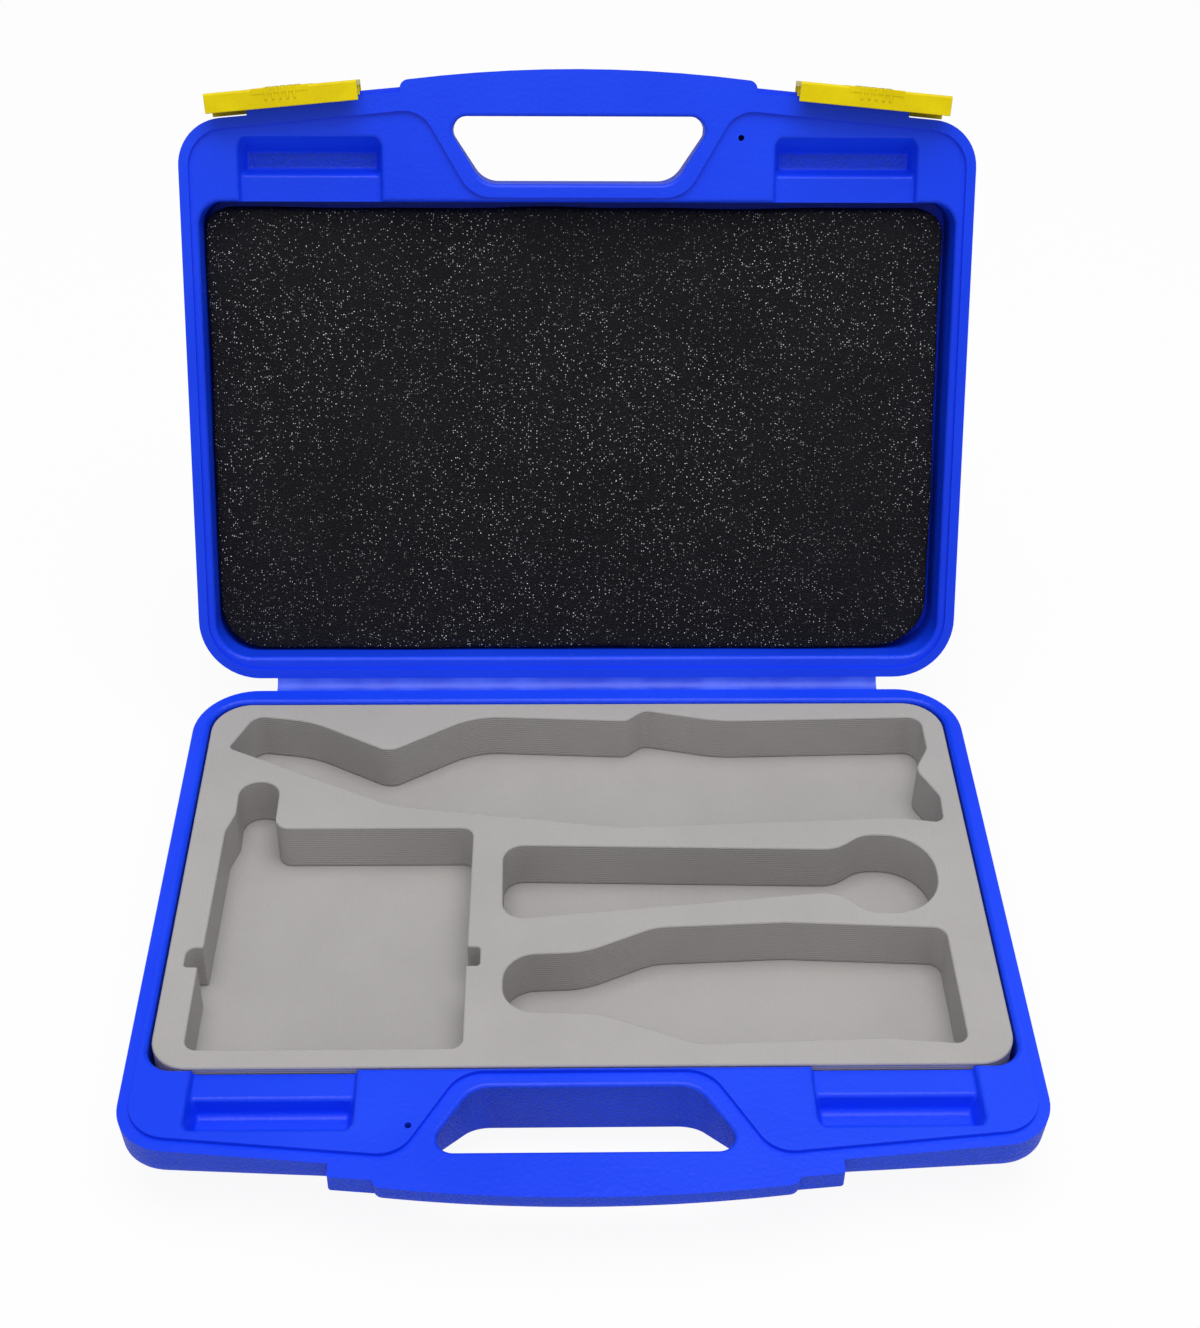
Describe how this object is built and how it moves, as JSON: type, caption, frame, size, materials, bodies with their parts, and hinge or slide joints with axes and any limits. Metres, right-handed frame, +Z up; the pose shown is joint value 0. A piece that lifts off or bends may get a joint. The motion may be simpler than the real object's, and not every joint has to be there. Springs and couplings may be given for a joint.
{
  "type": "hard tool case",
  "caption": "Hard plastic carrying case with a hinged lid, hand opening, slide latches and a die-cut foam tray with tool pockets.",
  "frame": {"origin": "centre of the base's underside, on the ground", "axes": "+X to the right seen from the front, -Y to the handle side (front), +Z up; the lid stands open at the rear"},
  "size_m": [0.36, 0.4128, 0.3008],
  "materials": {
    "blue_plastic": "satin",
    "yellow_plastic": "satin",
    "grey_foam": "matte",
    "black_foam": "matte",
    "adhesive": "matte"
  },
  "bodies": {
    "base": {"base_shell": "blue_plastic", "foam_tray": "grey_foam", "foam_tray_floor": "grey_foam", "living_hinge": "blue_plastic"},
    "lid": {"lid_shell": "blue_plastic", "lid_foam_pad": "black_foam", "lid_pad_adhesive": "adhesive"},
    "latch_left": {"latch_left": "yellow_plastic"},
    "latch_right": {"latch_right": "yellow_plastic"}
  },
  "joints": [
    {"name": "lid_hinge", "type": "hinge", "parent": "base", "child": "lid", "pos_m": [0, 0.14535, 0.03815], "axis": [-1, 0, 0], "range_deg": [-113.8, 66.2], "deforming": ["living_hinge"]},
    {"name": "latch_left_slide", "type": "slide", "parent": "lid", "child": "latch_left", "axis": [0.9956, 0.0378, 0.0856], "range_m": [0, 0.017]},
    {"name": "latch_right_slide", "type": "slide", "parent": "lid", "child": "latch_right", "axis": [-0.9956, 0.0378, 0.0856], "range_m": [0, 0.017]}
  ]
}
